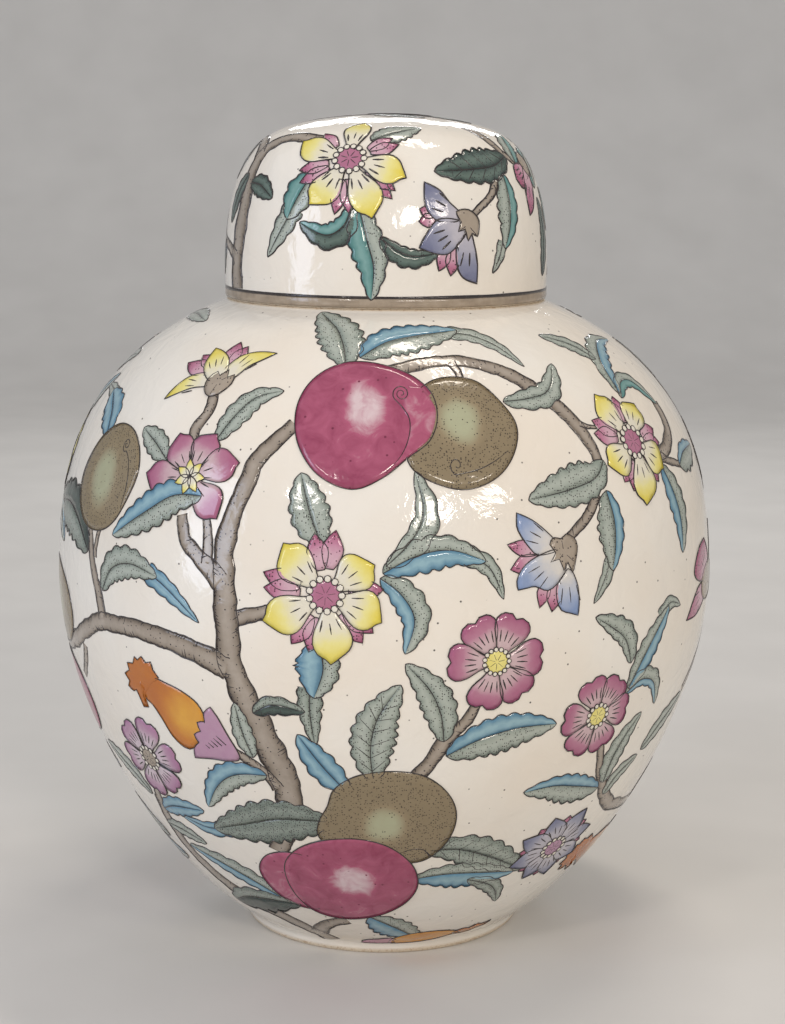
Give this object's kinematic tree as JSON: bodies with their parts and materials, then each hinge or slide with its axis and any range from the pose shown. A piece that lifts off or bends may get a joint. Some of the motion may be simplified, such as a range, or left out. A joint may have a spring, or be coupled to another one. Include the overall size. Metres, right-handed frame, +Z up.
{
  "type": "ginger jar",
  "caption": "Round-bellied lidded porcelain storage jar with a deep domed cap lid that lifts off a raised neck, painted with fruit, blossom and leaves in raised enamels.",
  "frame": {"origin": "centre of the foot ring, on the surface that the jar stands on", "axes": "+Z up along the axis that the jar was thrown on; -Y is the front, with the tree trunk and the two pairs of large fruit; +X to the right of the front"},
  "size_m": [0.2, 0.2, 0.2481],
  "materials": {
    "glazed_porcelain": "gloss",
    "unglazed_biscuit": "matte",
    "brown_rim_glaze": "satin",
    "black_line_enamel": "gloss",
    "bark_brown_enamel": "gloss",
    "leaf_green_enamel": "gloss",
    "leaf_blue_enamel": "gloss",
    "rose_enamel": "gloss",
    "pink_enamel": "gloss",
    "yellow_enamel": "gloss",
    "blue_petal_enamel": "gloss",
    "olive_fruit_enamel": "gloss",
    "orange_enamel": "gloss"
  },
  "bodies": {
    "jar": {"jar_body": "glazed_porcelain"},
    "lid": {"lid": "glazed_porcelain"}
  },
  "joints": [
    {"name": "lid_lift", "type": "slide", "parent": "jar", "child": "lid", "axis": [0, 0, 1], "range_m": [0, 0.12]}
  ]
}
